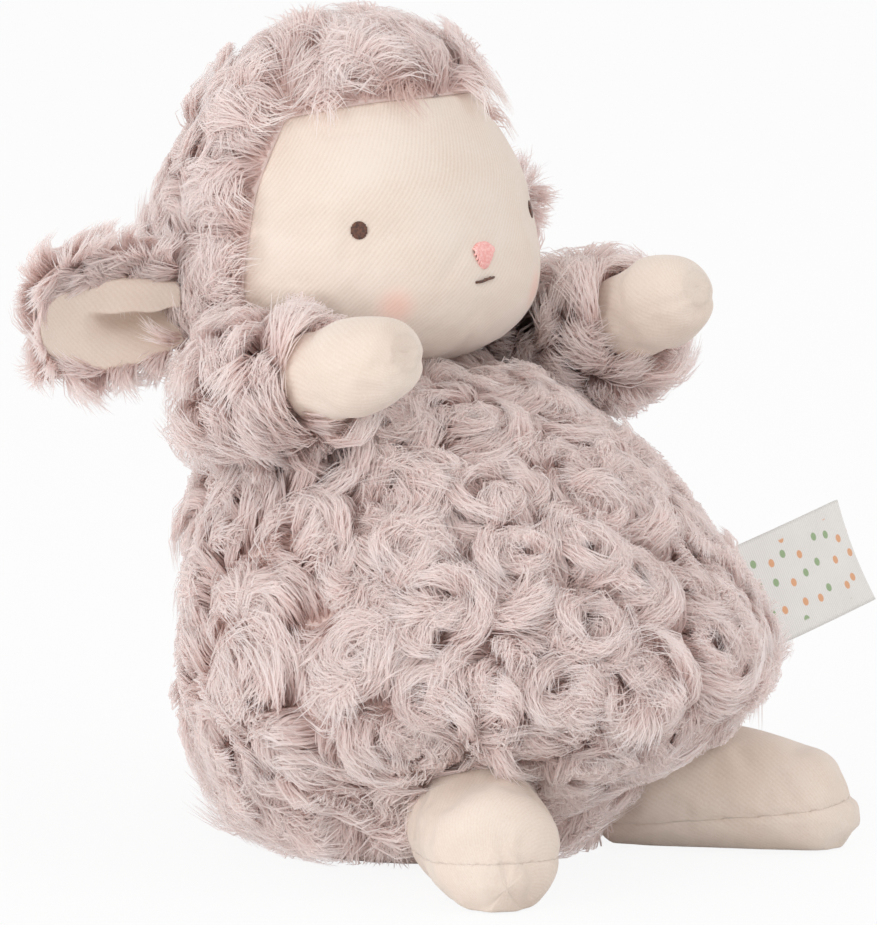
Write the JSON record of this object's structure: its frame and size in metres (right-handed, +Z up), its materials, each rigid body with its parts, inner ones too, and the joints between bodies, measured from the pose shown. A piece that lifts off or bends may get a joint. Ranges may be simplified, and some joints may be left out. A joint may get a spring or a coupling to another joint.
{
  "type": "plush lamb",
  "caption": "Stuffed plush lamb sitting on a flat seat, with swirled long-pile fur, velour face, paws and feet, held-out arms and a sewn-in loop label.",
  "frame": {"origin": "centre of the flat seat panel, on the surface that the lamb sits on", "axes": "+Z up, the lamb faces -Y, its right side is at -X and its left side at +X"},
  "size_m": [0.1721, 0.1357, 0.1635],
  "materials": {
    "plush": "long-pile plush with swirled pile, pale tips over darker roots",
    "velour": "cream short-pile velour",
    "seat_velour": "taupe short-pile velour",
    "stuffing": "loose white polyester fibre",
    "bag_cloth": "plain woven cloth bag of pellets",
    "brown_thread": "satin-stitched thread with a soft sheen",
    "pink_thread": "satin-stitched thread with a soft sheen",
    "label_ribbon": null
  },
  "bodies": {
    "body": {"body_front": "plush", "body_back_right": "plush", "body_back_left": "plush", "base_panel": "seat_velour", "pellet_bag": "bag_cloth", "body_stuffing": "stuffing"},
    "head": {"hood_right": "plush", "hood_left": "plush", "face": "velour", "head_stuffing": "stuffing", "right_eye": "brown_thread", "left_eye": "brown_thread", "nose": "pink_thread", "mouth": "brown_thread"},
    "right_ear": {"right_ear_outer": "plush", "right_ear_lining": "velour"},
    "left_ear": {"left_ear_outer": "plush", "left_ear_lining": "velour"},
    "right_arm": {"right_arm_sleeve": "plush", "right_paw": "velour", "right_arm_stuffing": "stuffing"},
    "left_arm": {"left_arm_sleeve": "plush", "left_paw": "velour", "left_arm_stuffing": "stuffing"},
    "right_foot": {"right_foot_upper": "velour", "right_foot_sole": "velour", "right_foot_stuffing": "stuffing"},
    "left_foot": {"left_foot_upper": "velour", "left_foot_sole": "velour", "left_foot_stuffing": "stuffing"},
    "label_loop": {"label": "label_ribbon"}
  },
  "joints": [
    {"name": "head_nod", "type": "hinge", "parent": "body", "child": "head", "pos_m": [0, 0.01, 0.09], "axis": [1, 0, 0], "range_deg": [-10, 3], "stiffness_Nm_per_rad": 0.5},
    {"name": "right_ear_flop", "type": "hinge", "parent": "head", "child": "right_ear", "pos_m": [-0.04159, 0.02461, 0.1085], "axis": [0, 1, 0], "range_deg": [-18, 18], "stiffness_Nm_per_rad": 0.05},
    {"name": "left_ear_flop", "type": "hinge", "parent": "head", "child": "left_ear", "pos_m": [0.04159, 0.02461, 0.1085], "axis": [0, 1, 0], "range_deg": [-18, 18], "stiffness_Nm_per_rad": 0.05},
    {"name": "right_arm_swing", "type": "hinge", "parent": "body", "child": "right_arm", "pos_m": [-0.04165, 0.00599, 0.092], "axis": [0, 0, 1], "range_deg": [-25, 8], "stiffness_Nm_per_rad": 0.06},
    {"name": "left_arm_swing", "type": "hinge", "parent": "body", "child": "left_arm", "pos_m": [0.04165, 0.00599, 0.092], "axis": [0, 0, 1], "range_deg": [-8, 25], "stiffness_Nm_per_rad": 0.06},
    {"name": "right_foot_turn", "type": "hinge", "parent": "body", "child": "right_foot", "pos_m": [-0.02587, -0.04064, 0], "axis": [0, 0, 1], "range_deg": [-12, 12], "stiffness_Nm_per_rad": 0.1},
    {"name": "left_foot_turn", "type": "hinge", "parent": "body", "child": "left_foot", "pos_m": [0.02818, -0.03899, 0], "axis": [0, 0, 1], "range_deg": [-12, 12], "stiffness_Nm_per_rad": 0.1},
    {"name": "label_swing", "type": "hinge", "parent": "body", "child": "label_loop", "pos_m": [0.05614, -0.03312, 0.043], "axis": [0, 0.342, 0.9397], "range_deg": [-45, 45], "stiffness_Nm_per_rad": 0.004}
  ]
}
